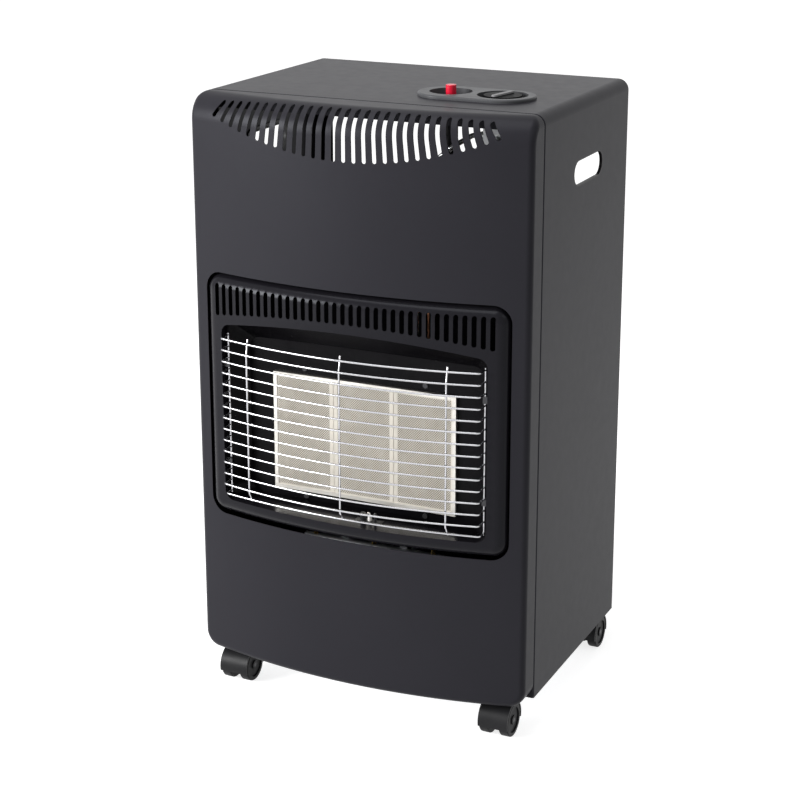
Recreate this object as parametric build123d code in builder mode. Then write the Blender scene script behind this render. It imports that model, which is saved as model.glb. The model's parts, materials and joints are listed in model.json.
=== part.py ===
from build123d import *
import math
import os

# Portable gas cabinet heater, in millimetres.
# +Z is up and the floor is Z = 0. The front faces -Y, and X = 0 is the middle of the cabinet.
# Y = 0 lies halfway between the guard's foremost wire and the back of the rear cover.

# ---------------------------------------------------------------- driving dimensions
# Cabinet
cabinet_width = 420.0
cabinet_height = 683.0          # sheet metal alone, without the casters
ride_height = 47.0              # floor to the lower edge of the cabinet
side_depth = 277.0              # seam with the front panel to the cabinet's back
sheet = 1.2                     # thickness of the folded sheets
top_bend_radius = 13.0
seam_rounding = 2.4             # both edges that meet at the seam are rounded this much
return_flange = 20.0            # flanges folded inwards at the seam
rear_flange = 24.0              # flanges folded inwards at the back
rear_top_flange = 20.0
flange_screw_inset = 14.0       # screw axes, from the cabinet's side
flange_screw_heights = (120.0, 330.0, 560.0)

# Front panel: bowed in plan, rounded over at the top
front_depth = 62.0              # seam to the middle of the front face
bow_radius = 740.0
front_edge_rounding = 8.5
front_top_rounding = 30.0
front_bottom_corner = 20.0
bow_overrun = 4.0               # degrees that a bowed block's turning goes past its corners
block_margin = 60.0             # how much deeper it is than its finished shape
pick_margin = 0.5               # edges are told apart by more than this
upright_share = 0.9             # an edge that runs more than this along Y isn't on the rim

# Top vents: a fan of slots under the rounded top edge
vent_count = 29
vent_width = 5.0
vent_top_side = 46.5            # cabinet's side to the first slot, at its upper end
vent_foot_side = 37.0           # the same at its lower end
vent_top_span = cabinet_width - 2 * vent_top_side
vent_foot_span = cabinet_width - 2 * vent_foot_side
vent_top_height = 681.2         # above the cabinet's lower edge, at the middle slot
vent_top_crown = 4.0            # how much lower the outermost slots begin
vent_foot_height = 624.4
vent_foot_crown = 34.5          # how much higher the outermost slots end

# Window in the front panel
window_side = 19.0              # cabinet's side to the window
window_width = cabinet_width - 2 * window_side
window_foot = 181.7             # above the cabinet's lower edge
window_top = 478.7
window_corner = 21.0

# Radiant surround: a bowed pressing that stands a little proud of the window
surround_gap = 2.5
surround_proud = 4.5
surround_flange = 16.0          # side flanges behind the front panel's return flange
surround_flange_margin = 40.0   # how far those flanges stop short of the window's ends
surround_edge_rounding = 16.0
louvre_count = 35
louvre_side = 19.0              # window's side to the first louvre
louvre_pitch = (window_width - 2 * louvre_side) / (louvre_count - 1)
louvre_width = 5.6
louvre_top = 466.7
louvre_foot_middle = 442.2
louvre_foot_crown = 14.0        # how much lower the outermost louvres end
mouth_side = 24.0               # window's side to the mouth
mouth_sill = 22.0               # window's foot to the mouth's
mouth_width = window_width - 2 * mouth_side
mouth_foot = window_foot + mouth_sill
mouth_side_top = 417.7
mouth_arch_rise = 14.0
mouth_corner = 12.0
mouth_lip_back = 30.0           # back edge of the turned-in lip, behind the front face's middle

# Reflector: a dish that narrows from the surround's lip to the burner
dish_sheet = 1.0
dish_front_margin = 0.1         # outside the mouth, all round
dish_side = 17.0                # how far its sides lean inwards
dish_sill = 1.3                 # how far its floor rises
dish_back_width = mouth_width - 2 * dish_side
dish_back_foot = mouth_foot + dish_sill
dish_back_top = 397.0
dish_back_rise = 1.0
dish_corner = 14.0
dish_wall_behind = 50.0         # front of its back wall, behind the front face's middle

# Burner
plaque_count = 3
plaque_pitch = 77.0
plaque_joint = 0.6
plaque_height = 141.0
plaque_thickness = 12.0
plaque_sill = 12.5              # dish's floor to the plaques
plaque_foot = dish_back_foot + plaque_sill
plaque_play = 0.3
frame_rim = 4.5                 # visible rim of the burner frame
frame_proud = 5.0               # rim face, in front of the reflector's back wall
frame_flange = 12.0
housing_depth = 30.0
housing_wall = 1.0
housing_margin = 3.0
mixer_diameter = 16.0
mixer_length = 58.0
mixer_bore = 13.0
injector_diameter = 6.0
injector_length = 14.0
injector_bore = 1.2
injector_entry = 3.0            # how far each injector stands inside its mixing tube
injector_seat = 2.0             # how far each injector is let into the manifold
manifold_diameter = 12.0
manifold_bore = 8.0
manifold_overhang = 14.0        # past the outer injectors
bracket_width = 20.0
bracket_depth = 9.0
bracket_sheet = 1.5
screw_shank = 3.0
screw_head = 6.0
screw_head_height = 1.8
screw_hole_play = 0.2
burner_screw_spacing = 154.0
burner_screw_margin = 7.0       # screw axes outside the burner frame

# Heat shield
shield_behind = 103.0            # its front, behind the front face's middle
shield_top = 560.0
shield_flange = 14.0

# Dress guard: bowed chrome wires
wire_diameter = 2.2
guard_count = 15
guard_pitch = 13.7
guard_top = 404.6
guard_proud = 17.0              # middle wire's axis, in front of the front face
guard_side = 5.0                # mouth's side to the guard's end posts
guard_half_width = mouth_width / 2 - guard_side
guard_end_behind = 4.6          # ends of the bowed wires, behind the front face's middle
guard_leg = 17.0                # length of the legs that turn back
guard_post_offset = 125.0       # the outer front uprights, from the middle
guard_foot_tuck = 9.5           # how far the lowest wire is set back
guard_top_tuck = 4.0            # how far the uprights' upper ends are set back
guard_post_diameter = 2.6
guard_bend = 4.0
guard_top_bend = 12.0
guard_weld = 0.05               # how far crossing wires sink into each other
clip_height = 8.0
clip_depth = 5.0
clip_heights = (250.0, 370.0)

# Control panel on the top
plate_radius = 38.0
plate_height = 4.0
plate_wall = 1.2
plate_edge_rounding = 2.0
igniter_recess_depth = 3.5      # recess floors, below the cabinet's top
knob_recess_depth = 6.8
knob_side = 82.0                # knob's axis, from the cabinet's side
controls_pitch = 63.0           # igniter's axis to the knob's
knob_x = cabinet_width / 2 - knob_side
igniter_x = knob_x - controls_pitch
controls_behind_seam = 81.0
igniter_recess = 24.5
knob_recess = 29.0
knob_diameter = 43.0
knob_thickness = 3.0            # its disc, flush with the plate at rest
knob_bar_height = 2.2
knob_bar_length = 42.0
knob_bar_width = 7.0
knob_bar_turn = -10.0           # degrees about +Z from straight ahead
knob_bar_taper = 12.0
knob_hub_diameter = 14.0
knob_hub_height = 3.0
knob_travel = 4.0
button_diameter = 12.0
button_height = 11.5
button_travel = 6.0
button_rounding = 0.8

# Valve and igniter
valve_width = 34.0
valve_depth = 30.0
valve_height = 40.0
valve_top_gap = 14.0            # under the cabinet top
valve_pad_width = 34.0
valve_pad_depth = 18.0
valve_screw_spacing = 26.0
spindle_diameter = 8.0
spindle_flat = 2.8              # spindle axis to its flat
spindle_entry = 20.0            # length inside the plug
plug_diameter = 16.0
plug_length = 28.0
plug_cover = 1.0                # plug top below the valve's upper face
running_gap = 0.05              # radial play of the turning and sliding fits
igniter_diameter = 17.0
igniter_length = 66.0
igniter_rim = 1.2
button_entry = 9.0              # length of the button inside the igniter
stem_hole_play = 1.0
outlet_diameter = 10.0
outlet_length = 8.0
pilot_outlet_diameter = 8.0
union_diameter = 9.0

# Pipes and leads
burner_pipe_diameter = 6.0
pilot_pipe_diameter = 4.0
thermocouple_lead_diameter = 3.0
ignition_lead_diameter = 4.0
pipe_lane_gap = 7.5             # pipe axes behind the burner housings
pipe_column_x = 45.0            # burner pipe
pilot_column_side = 6.0         # pilot pipe, beside the knob's axis
pilot_column_x = knob_x + pilot_column_side
thermocouple_column_x = 60.0
lane_drop = 14.7                # pilot pipe under the reflector
lane_step = 5.0                 # the leads run this much higher
pipe_bend = 12.0
pipe_end_bend = 8.0
pilot_pipe_bend = 10.0
pilot_pipe_end_bend = 6.0
lead_bend = 10.0
lead_low_bend = 8.0
lead_end_bend = 5.0
pipe_stub = 10.0                # first straight run out of the valve
pilot_stub = 12.0
thermocouple_stub = 22.0
ignition_stub = 16.0
pipe_drops = (12.0, 38.0)       # burner pipe's next points, below the outlet
pipe_clearance = 5.0            # and in front of the igniter
pilot_drop = 35.0
lead_crossing_step = 6.0        # the leads cross this much lower than the burner pipe
pilot_lane_front = 6.0          # where each turns forwards, behind the reflector's front
thermocouple_lane_front = 10.0

# Pilot burner
pilot_x = 12.0
electrode_x = 20.5
thermocouple_x = 27.5
pilot_behind = 20.0             # behind the front face's middle
pilot_diameter = 7.0
pilot_height = 9.0
pilot_slot_diameter = 3.0
pilot_slot_share = 0.7          # of the pilot's height
pilot_plate_width = 34.0
pilot_plate_depth = 9.0
pilot_plate_sheet = 1.0
electrode_diameter = 5.0
electrode_height = 7.0
electrode_pin = 1.4
electrode_reach = 6.0
thermocouple_diameter = 3.4
thermocouple_height = 11.0

# Gas inlet
tail_diameter = 8.0
tail_length = 32.0
tail_bore = 4.5
tail_chamfer = 0.6
tail_nut_across = 16.0
tail_nut_length = 12.0

# Hand holes in the sides
hand_hole_length = 96.0
hand_hole_height = 31.0
hand_hole_centre = 600.0        # above the cabinet's lower edge
hand_hole_behind_seam = 142.0
grip_wall = 1.6
grip_depth = 3.6
grip_lip = 4.0

# Base tray
tray_height = 26.0
tray_sheet = 1.5
tray_lift = 2.0                 # tray underside above the cabinet's lower edge
tray_front_reach = 20.0         # in front of the seam, inside the front panel
tray_play = 0.5                 # beside the return flanges

# Rear cover
cover_depth = 45.0
cover_side = 27.0               # cabinet's side to the cover's pan
cover_half_width = cabinet_width / 2 - cover_side
cover_foot = 12.0
cover_top = 545.0
cover_flange = 18.0
cover_sheet = 1.0
cover_gap = 0.4
cover_corner = 18.0
cover_slot_count = 9
cover_slot_pitch = 14.0
cover_slot_length = 90.0
cover_slot_width = 5.0
cover_lift = 12.0               # lift that frees the cover from its studs
stud_diameter = 5.0
stud_head_diameter = 8.5
stud_head = 1.6
stud_gap = 0.3                  # between the cover's flange and a stud's head
stud_inset = 7.5                # stud axes, inside the edge of the cover's flange
stud_heights = (110.0, 440.0)
keyhole_play = 0.6

# Casters
wheel_diameter = 40.0
wheel_width = 12.0
caster_trail = 18.0
front_caster_inset = 38.0       # stems, from the cabinet's sides
rear_caster_inset = 26.0
front_caster_back = 8.0         # front stems, behind the seam
rear_caster_front = 37.0        # rear stems, in front of the cabinet's back
hood_radius = 22.6
hood_web = 12.0
hood_skirt = 5.0                # how far the hood reaches below the axle
wheel_gap = 0.4
wheel_well_gap = 0.8
wheel_rounding = 1.6
wheel_dish_depth = 1.5
wheel_dish_radius = 15.0
wheel_hub_radius = 5.5
axle_diameter = 5.0
stem_diameter = 8.0
stem_seat = 16.5                # lower end of the stem, over the floor
stem_collar_diameter = 13.0
hood_boss_floor = 2.5
hood_top_gap = 0.4

# ---------------------------------------------------------------- places worked out from them
half_width = cabinet_width / 2
wire_radius = wire_diameter / 2
front_reach = side_depth + front_depth + guard_proud + wire_radius
back_y = (front_reach - cover_depth) / 2
seam_y = back_y - side_depth
front_y = seam_y - front_depth
bow_centre_y = front_y + bow_radius
foot_z = ride_height
top_z = ride_height + cabinet_height


def height(above_foot):
    """Height over the floor of a place that is given from the cabinet's lower edge."""
    return foot_z + above_foot


def front_plane(y):
    """Upright plane across the cabinet at y: its own x is X, its own y is Z, and it looks forwards."""
    return Plane.XZ.offset(-y)


def bow_y(x, proud=0.0):
    """Y of the bowed front at x, moved forwards by proud."""
    return bow_centre_y - math.sqrt((bow_radius + proud) ** 2 - x**2)


def crown(x, half_span, rise):
    """How far a shallow arch of this rise has dropped at x."""
    return rise * (x / half_span) ** 2


def slot(start, end, width):
    """A round-ended slot between two points of the sketch that is open."""
    middle = ((start[0] + end[0]) / 2, (start[1] + end[1]) / 2)
    length = math.dist(start, end)
    lean = math.degrees(math.atan2(end[1] - start[1], end[0] - start[0]))
    with Locations(middle):
        SlotCenterToCenter(length, width, rotation=lean)


def bowed_block(outline, corners, back, proud=0.0, inset=0.0, edge=1.0, top_rounding=0.0):
    """A solid with a bowed front, seen from the front as a rectangle with rounded corners.

    outline is (half width, foot, top), corners is (foot radius, top radius), and inset makes
    the block that a sheet of that thickness wraps.
    """
    half = outline[0] - inset
    foot = outline[1] + inset
    top = outline[2] - inset
    foot_corner = corners[0] - inset
    top_corner = corners[1] - inset
    radius = bow_radius + proud - inset
    swing = math.asin(half / radius) + math.radians(bow_overrun)
    depth = 2 * (back - front_y + abs(proud)) + block_margin
    across = (-math.sin(swing), -math.cos(swing), 0)
    side_on = Plane(origin=(0, bow_centre_y, 0), x_dir=across, z_dir=(across[1], -across[0], 0))
    rounding = max(top_rounding - inset, 0)
    with BuildPart() as block:
        with BuildSketch(side_on):
            with BuildLine():
                if rounding > 0:
                    Polyline(
                        (radius - rounding, top),
                        (radius - depth, top),
                        (radius - depth, foot),
                        (radius, foot),
                        (radius, top - rounding),
                    )
                    RadiusArc((radius, top - rounding), (radius - rounding, top), -rounding)
                else:
                    Polyline(
                        (radius, top),
                        (radius - depth, top),
                        (radius - depth, foot),
                        (radius, foot),
                        close=True,
                    )
            make_face()
        revolve(axis=Axis((0, bow_centre_y, 0), (0, 0, 1)), revolution_arc=2 * math.degrees(swing))
        with BuildSketch(front_plane(back)):
            with Locations((0, (foot + top) / 2)):
                Rectangle(2 * half, top - foot)
            fillet(vertices().group_by(Axis.Y)[0], foot_corner)
            fillet(vertices().group_by(Axis.Y)[-1], top_corner)
        extrude(amount=depth, mode=Mode.INTERSECT)
        widest_corner = max(foot_corner, top_corner)
        rim = [
            e
            for e in block.edges()
            if e.center().Y < back - pick_margin
            and not (e.geom_type == GeomType.LINE and abs(e.tangent_at(0.5).Y) > upright_share)
            and (
                abs(e.center().X) > half - widest_corner
                or e.center().Z < foot + pick_margin
                or (rounding == 0 and e.center().Z > top - pick_margin)
            )
        ]
        fillet(rim, edge - inset)
    return block.part


def doorway(half, top):
    """A rectangle that runs out through the cabinet's lower edge, in the sketch that is open."""
    with Locations((0, (foot_z - sheet + top) / 2)):
        Rectangle(2 * half, top - foot_z + sheet)


def arched(half, foot, side_top, rise, corner):
    """An outline with a shallow arch for its top and rounded corners."""
    with BuildSketch() as outline:
        with BuildLine():
            Polyline((-half, side_top), (-half, foot), (half, foot), (half, side_top))
            ThreePointArc((half, side_top), (0, side_top + rise), (-half, side_top))
        make_face()
        fillet(outline.vertices(), corner)
    return outline.sketch


def upright_box(x_range, y_range, z_range, mode=Mode.ADD):
    """A box between two values of x, of y and of z, in the part that is open."""
    size = [high - low for low, high in (x_range, y_range, z_range)]
    middle = [(low + high) / 2 for low, high in (x_range, y_range, z_range)]
    with Locations(tuple(middle)):
        Box(*size, mode=mode)


def rod(start, end, diameter, mode=Mode.ADD):
    """A round rod between two points, in the part that is open."""
    line = Vector(*end) - Vector(*start)
    with BuildPart() as piece:
        with BuildSketch(Plane(origin=start, z_dir=line)):
            Circle(diameter / 2)
        extrude(amount=line.length)
    add(piece.part, mode=mode)


def bent_rod(points, radii, diameter):
    """A round rod along straight runs joined by tangent arcs, in the part that is open."""
    with BuildPart() as piece:
        with BuildLine() as route:
            FilletPolyline(*points, radius=radii)
        with BuildSketch(Plane(origin=route.line @ 0, z_dir=route.line % 0)):
            Circle(diameter / 2)
        sweep(path=route.line)
    add(piece.part)


os.makedirs("parts", exist_ok=True)

# ---------------------------------------------------------------- cabinet
controls_y = seam_y + controls_behind_seam
hand_hole_y = seam_y + hand_hole_behind_seam
opening_half = half_width - return_flange
tray_floor_z = height(tray_lift + tray_sheet)
tray_rim_z = height(tray_lift + tray_height)
front_stem_y = seam_y + front_caster_back
rear_stem_y = back_y - rear_caster_front
front_stem_x = half_width - front_caster_inset
rear_stem_x = half_width - rear_caster_inset
stem_places = [
    (-front_stem_x, front_stem_y),
    (front_stem_x, front_stem_y),
    (-rear_stem_x, rear_stem_y),
    (rear_stem_x, rear_stem_y),
]
flange_screw_x = half_width - flange_screw_inset
flange_screws = [(side * flange_screw_x, height(z)) for side in (-1, 1) for z in flange_screw_heights]
screw_hole_radius = (screw_shank + screw_hole_play) / 2
cover_flange_half = cover_half_width + cover_flange
stud_x = cover_flange_half - stud_inset
studs_at = [(side * stud_x, height(z)) for side in (-1, 1) for z in stud_heights]

# Folded sheet: both sides and the top in one piece
with BuildPart() as cabinet_wrap:
    with BuildSketch(front_plane(back_y)):
        with Locations((0, (foot_z + top_z) / 2)):
            Rectangle(cabinet_width, cabinet_height)
        fillet(vertices().group_by(Axis.Y)[-1], top_bend_radius)
    extrude(amount=side_depth)
    seam_outline = faces().sort_by(Axis.Y)[0].edges().sort_by(Axis.Z)[1:]
    fillet(seam_outline, seam_rounding)
    with BuildSketch(front_plane(back_y - sheet)):
        with Locations((0, (foot_z + top_z) / 2 - sheet)):
            Rectangle(cabinet_width - 2 * sheet, cabinet_height)
        fillet(vertices().group_by(Axis.Y)[-1], top_bend_radius - sheet)
    extrude(amount=side_depth - 2 * sheet, mode=Mode.SUBTRACT)
    with BuildSketch(front_plane(seam_y + 2 * sheet)):
        doorway(opening_half, top_z - return_flange)
    extrude(amount=3 * sheet, mode=Mode.SUBTRACT)
    with BuildSketch(front_plane(back_y + sheet)):
        doorway(half_width - rear_flange, top_z - rear_top_flange)
    extrude(amount=3 * sheet, mode=Mode.SUBTRACT)
    with BuildSketch(Plane.YZ):
        with Locations((hand_hole_y, height(hand_hole_centre))):
            SlotOverall(hand_hole_length, hand_hole_height)
    extrude(amount=cabinet_width, both=True, mode=Mode.SUBTRACT)
    with BuildSketch(Plane.XY.offset(top_z - 2 * sheet)):
        with Locations((igniter_x, controls_y)):
            Circle(igniter_recess + plate_wall)
        with Locations((knob_x, controls_y)):
            Circle(knob_recess + plate_wall)
    extrude(amount=3 * sheet, mode=Mode.SUBTRACT)
    with BuildSketch(front_plane(seam_y + 2 * sheet)):
        with Locations(*flange_screws):
            Circle(screw_hole_radius)
    extrude(amount=3 * sheet, mode=Mode.SUBTRACT)
    with BuildSketch(front_plane(back_y + sheet)):
        with Locations(*studs_at):
            Circle(stud_diameter / 2)
    extrude(amount=3 * sheet, mode=Mode.SUBTRACT)
cabinet_wrap.part.label = "cabinet_wrap"
export_step(cabinet_wrap.part, "parts/cabinet_wrap.step")

# Base tray, which carries the cylinder and the casters
tray_back_y = back_y - sheet
tray_front_y = seam_y - tray_front_reach
tray_half = half_width - sheet
tray_neck_half = opening_half - tray_play
with BuildPart() as base_tray:
    with BuildSketch(Plane.XY.offset(height(tray_lift))):
        with BuildLine():
            Polyline(
                (-tray_half, tray_back_y),
                (-tray_half, seam_y + sheet),
                (-tray_neck_half, seam_y + sheet),
                (-tray_neck_half, tray_front_y),
                (tray_neck_half, tray_front_y),
                (tray_neck_half, seam_y + sheet),
                (tray_half, seam_y + sheet),
                (tray_half, tray_back_y),
                close=True,
            )
        make_face()
    extrude(amount=tray_height)
    offset(amount=-tray_sheet, openings=faces().sort_by(Axis.Z)[-1])
    with BuildSketch(Plane.XY.offset(height(tray_lift))):
        with Locations(*stem_places):
            Circle(stem_diameter / 2)
    extrude(amount=2 * tray_sheet, mode=Mode.SUBTRACT)
base_tray.part.label = "base_tray"
export_step(base_tray.part, "parts/base_tray.step")

# Front panel: a deep pressing, bowed in plan, with the fan of vents and the window
panel_outline = (half_width, foot_z, top_z)
panel_corners = (front_bottom_corner, top_bend_radius)
panel_block = bowed_block(
    panel_outline,
    panel_corners,
    seam_y,
    edge=front_edge_rounding,
    top_rounding=front_top_rounding,
)
panel_core = bowed_block(
    panel_outline,
    panel_corners,
    seam_y - sheet,
    inset=sheet,
    edge=front_edge_rounding,
    top_rounding=front_top_rounding,
)
with BuildPart() as front_panel:
    add(panel_block)
    fillet(faces().sort_by(Axis.Y)[-1].edges(), seam_rounding)
    add(panel_core, mode=Mode.SUBTRACT)
    with BuildSketch(front_plane(seam_y + sheet)):
        with Locations((0, (foot_z + sheet + top_z - return_flange) / 2)):
            Rectangle(2 * opening_half, cabinet_height - return_flange - sheet)
    extrude(amount=3 * sheet, mode=Mode.SUBTRACT)
    with BuildSketch(front_plane(seam_y - return_flange)):
        with Locations((0, height((window_foot + window_top) / 2))):
            RectangleRounded(window_width, window_top - window_foot, window_corner)
    extrude(amount=front_depth, mode=Mode.SUBTRACT)
    with BuildSketch(front_plane(seam_y - seam_rounding - sheet)):
        for number in range(vent_count):
            share = 2 * number / (vent_count - 1) - 1
            lower_end = height(vent_foot_height + crown(share, 1, vent_foot_crown)) + vent_width / 2
            upper_end = height(vent_top_height - crown(share, 1, vent_top_crown)) - vent_width / 2
            slot(
                (share * vent_foot_span / 2, lower_end),
                (share * vent_top_span / 2, upper_end),
                vent_width,
            )
    extrude(amount=front_depth, mode=Mode.SUBTRACT)
    with BuildSketch(front_plane(seam_y + sheet)):
        with Locations(*flange_screws):
            Circle(screw_hole_radius)
    extrude(amount=3 * sheet, mode=Mode.SUBTRACT)
front_panel.part.label = "front_panel"
export_step(front_panel.part, "parts/front_panel.step")

# Radiant surround: fills the window, with louvres over an arched mouth and a turned-in lip
surround_half = window_width / 2 - surround_gap
surround_outline = (surround_half, height(window_foot) + surround_gap, height(window_top) - surround_gap)
surround_corners = (window_corner - surround_gap, window_corner - surround_gap)
surround_back_y = seam_y - sheet
lip_back_y = front_y + mouth_lip_back
mouth_half = mouth_width / 2
surround_block = bowed_block(
    surround_outline,
    surround_corners,
    surround_back_y,
    proud=surround_proud,
    edge=surround_edge_rounding,
)
surround_core = bowed_block(
    surround_outline,
    surround_corners,
    surround_back_y + sheet,
    proud=surround_proud,
    inset=sheet,
    edge=surround_edge_rounding,
)
mouth_outline = arched(
    mouth_half,
    height(mouth_foot),
    height(mouth_side_top),
    mouth_arch_rise,
    mouth_corner,
)
lip_outline = arched(
    mouth_half + sheet,
    height(mouth_foot) - sheet,
    height(mouth_side_top) + sheet,
    mouth_arch_rise,
    mouth_corner + sheet,
)
with BuildPart() as lip_block:
    with BuildSketch(front_plane(lip_back_y)):
        add(lip_outline)
    extrude(amount=mouth_lip_back + 2 * surround_proud)
    add(surround_block, mode=Mode.INTERSECT)
pilot_y = front_y + pilot_behind
with BuildPart() as radiant_surround:
    add(surround_block)
    add(surround_core, mode=Mode.SUBTRACT)
    add(lip_block.part)
    with BuildSketch(front_plane(lip_back_y + sheet)):
        add(mouth_outline)
    extrude(amount=mouth_lip_back + sheet + 2 * surround_proud, mode=Mode.SUBTRACT)
    with BuildSketch(front_plane(front_y + front_depth / 2)):
        for number in range(louvre_count):
            louvre_x = (number - (louvre_count - 1) / 2) * louvre_pitch
            drop = crown(louvre_x, (louvre_count - 1) / 2 * louvre_pitch, louvre_foot_crown)
            slot(
                (louvre_x, height(louvre_foot_middle - drop) + louvre_width / 2),
                (louvre_x, height(louvre_top) - louvre_width / 2),
                louvre_width,
            )
    extrude(amount=front_depth, mode=Mode.SUBTRACT)
    flange_low = surround_outline[1] + surround_flange_margin
    flange_high = surround_outline[2] - surround_flange_margin
    for side in (-1, 1):
        flange_ends = sorted(
            (side * (surround_half - sheet), side * (surround_half - sheet + surround_flange))
        )
        upright_box(flange_ends, (surround_back_y - sheet, surround_back_y), (flange_low, flange_high))
    with BuildSketch(front_plane(surround_back_y)):
        with Locations(*[place for place in flange_screws if flange_low < place[1] < flange_high]):
            Circle(screw_hole_radius)
    extrude(amount=sheet, mode=Mode.SUBTRACT)
    with BuildSketch(Plane.XY.offset(height(mouth_foot) - 2 * sheet)):
        with Locations((pilot_x, pilot_y)):
            Circle(pilot_pipe_diameter / 2)
        with Locations((electrode_x, pilot_y)):
            Circle(ignition_lead_diameter / 2)
        with Locations((thermocouple_x, pilot_y)):
            Circle(thermocouple_lead_diameter / 2)
    extrude(amount=3 * sheet, mode=Mode.SUBTRACT)
radiant_surround.part.label = "radiant_surround"
export_step(radiant_surround.part, "parts/radiant_surround.step")

# ---------------------------------------------------------------- firebox and burner
# Reflector: a dish behind the mouth, its back wall round the burner
dish_front_y = lip_back_y
dish_back_y = front_y + dish_wall_behind
plaques_half = (plaque_count * plaque_pitch - plaque_joint) / 2
frame_half = plaques_half + plaque_play + dish_sheet
frame_foot_z = height(plaque_foot) - plaque_play - dish_sheet
frame_top_z = height(plaque_foot + plaque_height) + plaque_play + dish_sheet
frame_middle_z = (frame_foot_z + frame_top_z) / 2
frame_tall = frame_top_z - frame_foot_z
burner_screws_at = [
    (side * burner_screw_spacing / 2, z)
    for side in (-1, 1)
    for z in (frame_foot_z - burner_screw_margin, frame_top_z + burner_screw_margin)
]


def dish_front(grow):
    """The dish's front outline, grown outwards."""
    return arched(
        mouth_half + dish_front_margin + grow,
        height(mouth_foot) - dish_front_margin - grow,
        height(mouth_side_top) + dish_front_margin + grow,
        mouth_arch_rise,
        mouth_corner + dish_front_margin + grow,
    )


def dish_rear(grow):
    """The dish's rear outline, grown outwards."""
    return arched(
        dish_back_width / 2 + grow,
        height(dish_back_foot) - grow,
        height(dish_back_top) + grow,
        dish_back_rise,
        dish_corner + grow,
    )


with BuildPart() as firebox_reflector:
    with BuildSketch(front_plane(dish_front_y)):
        add(dish_front(dish_sheet))
    with BuildSketch(front_plane(dish_back_y)):
        add(dish_rear(dish_sheet))
    loft(ruled=True)
    with BuildSketch(front_plane(dish_front_y)):
        add(dish_front(0))
    with BuildSketch(front_plane(dish_back_y)):
        add(dish_rear(0))
    loft(ruled=True, mode=Mode.SUBTRACT)
    with BuildSketch(front_plane(dish_back_y + dish_sheet)):
        add(dish_rear(dish_sheet))
    extrude(amount=dish_sheet)
    with BuildSketch(front_plane(dish_back_y + 2 * dish_sheet)):
        with Locations((0, frame_middle_z)):
            Rectangle(2 * frame_half, frame_tall)
        with Locations(*burner_screws_at):
            Circle(screw_hole_radius)
    extrude(amount=3 * dish_sheet, mode=Mode.SUBTRACT)
firebox_reflector.part.label = "firebox_reflector"
export_step(firebox_reflector.part, "parts/firebox_reflector.step")

# Burner frame: a bright rim in front of the plaques, a sleeve round them and a flange behind
rim_face_y = dish_back_y - frame_proud
plaque_front_y = rim_face_y + dish_sheet
plaque_back_y = plaque_front_y + plaque_thickness
flange_back_y = dish_back_y + 2 * dish_sheet
with BuildPart() as burner_frame:
    with BuildSketch(front_plane(flange_back_y)):
        with Locations((0, frame_middle_z)):
            RectangleRounded(2 * (frame_half + frame_flange), frame_tall + 2 * frame_flange, frame_flange / 2)
        with Locations(*burner_screws_at):
            Circle(screw_hole_radius, mode=Mode.SUBTRACT)
    extrude(amount=dish_sheet)
    with BuildSketch(front_plane(flange_back_y)):
        with Locations((0, frame_middle_z)):
            Rectangle(2 * frame_half, frame_tall)
    extrude(amount=flange_back_y - rim_face_y)
    with BuildSketch(front_plane(flange_back_y)):
        with Locations((0, frame_middle_z)):
            Rectangle(2 * (frame_half - dish_sheet), frame_tall - 2 * dish_sheet)
    extrude(amount=flange_back_y - plaque_front_y, mode=Mode.SUBTRACT)
    with BuildSketch(front_plane(flange_back_y)):
        with Locations((0, frame_middle_z)):
            Rectangle(2 * (frame_half - frame_rim), frame_tall - 2 * frame_rim)
    extrude(amount=flange_back_y - rim_face_y, mode=Mode.SUBTRACT)
burner_frame.part.label = "burner_frame"
export_step(burner_frame.part, "parts/burner_frame.step")

plaque_width = plaque_pitch - plaque_joint
plaque_names = ("left", "middle", "right")
plaque_places = [(number - (plaque_count - 1) / 2) * plaque_pitch for number in range(plaque_count)]
housing_back_y = plaque_back_y + housing_depth
housing_foot_z = height(plaque_foot) + housing_margin
mixer_y = plaque_back_y + housing_depth / 2
mixer_foot_z = housing_foot_z - mixer_length
manifold_z = mixer_foot_z + injector_entry - injector_length - manifold_diameter / 2 + injector_seat
for name, x in zip(plaque_names, plaque_places):
    # Ceramic plaque that glows when the burner is lit
    with BuildPart() as plaque:
        upright_box(
            (x - plaque_width / 2, x + plaque_width / 2),
            (plaque_front_y, plaque_back_y),
            (height(plaque_foot), height(plaque_foot + plaque_height)),
        )
    plaque.part.label = f"plaque_{name}"
    export_step(plaque.part, f"parts/plaque_{name}.step")

    # Pressed housing that feeds the plaque, with its mixing tube below
    housing_half = plaque_width / 2 - housing_margin
    housing_top_z = height(plaque_foot + plaque_height) - housing_margin
    with BuildPart() as housing:
        upright_box(
            (x - housing_half, x + housing_half),
            (plaque_back_y, housing_back_y),
            (housing_foot_z, housing_top_z),
        )
        offset(amount=-housing_wall, openings=faces().sort_by(Axis.Y)[0])
        rod((x, mixer_y, mixer_foot_z), (x, mixer_y, housing_foot_z + housing_wall), mixer_diameter)
        rod(
            (x, mixer_y, mixer_foot_z),
            (x, mixer_y, housing_foot_z + 2 * housing_wall),
            mixer_bore,
            mode=Mode.SUBTRACT,
        )
    housing.part.label = f"burner_housing_{name}"
    export_step(housing.part, f"parts/burner_housing_{name}.step")

# Injectors: one under each mixing tube, let into the manifold
injector_foot_z = manifold_z + manifold_diameter / 2 - injector_seat
with BuildPart() as injectors:
    for x in plaque_places:
        foot = (x, mixer_y, injector_foot_z)
        tip = (x, mixer_y, injector_foot_z + injector_length)
        rod(foot, tip, injector_diameter)
        rod(foot, tip, injector_bore, mode=Mode.SUBTRACT)
injectors.part.label = "injectors"
export_step(injectors.part, "parts/injectors.step")

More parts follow.
